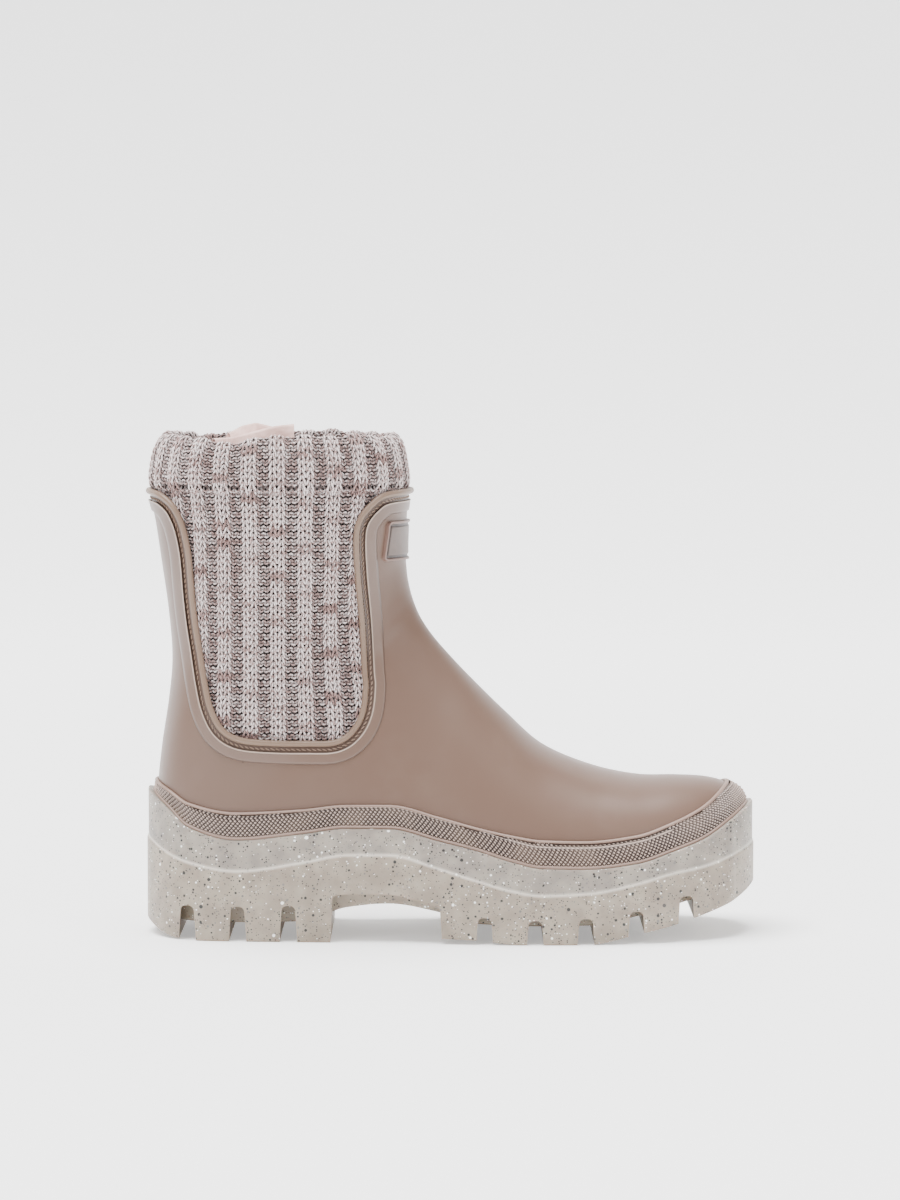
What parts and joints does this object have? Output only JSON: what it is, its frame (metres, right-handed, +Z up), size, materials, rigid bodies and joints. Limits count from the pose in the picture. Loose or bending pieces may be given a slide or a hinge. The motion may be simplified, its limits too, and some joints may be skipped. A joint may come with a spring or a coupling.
{
  "type": "rubber boot",
  "caption": "Hollow right rubber ankle boot on a lugged cup sole, with scalloped side openings over a ribbed knit sock and a folded knit cuff.",
  "frame": {"origin": "centre of the bounding box, on the floor", "axes": "+X towards the toe, +Y towards the inner side of the foot, +Z up"},
  "size_m": [0.2803, 0.1037, 0.2298],
  "materials": {
    "shell_rubber": "satin moulded rubber, taupe",
    "rand_rubber": "matte knurled rubber, taupe",
    "piping_rubber": "satin rubber bead, light taupe",
    "sole_rubber": "matte grey-beige rubber with dark and white specks",
    "knit": "ribbed marled wool-like knit, off-white and rose brown",
    "insole_felt": "felt",
    "badge_rubber": "satin moulded patch, blank"
  },
  "bodies": {
    "root": {"outsole": "sole_rubber", "rand": "rand_rubber", "upper": "shell_rubber", "collar_piping": "piping_rubber", "knit_liner": "knit", "knit_cuff": "knit", "insole": "insole_felt", "badge": "badge_rubber"}
  },
  "joints": []
}
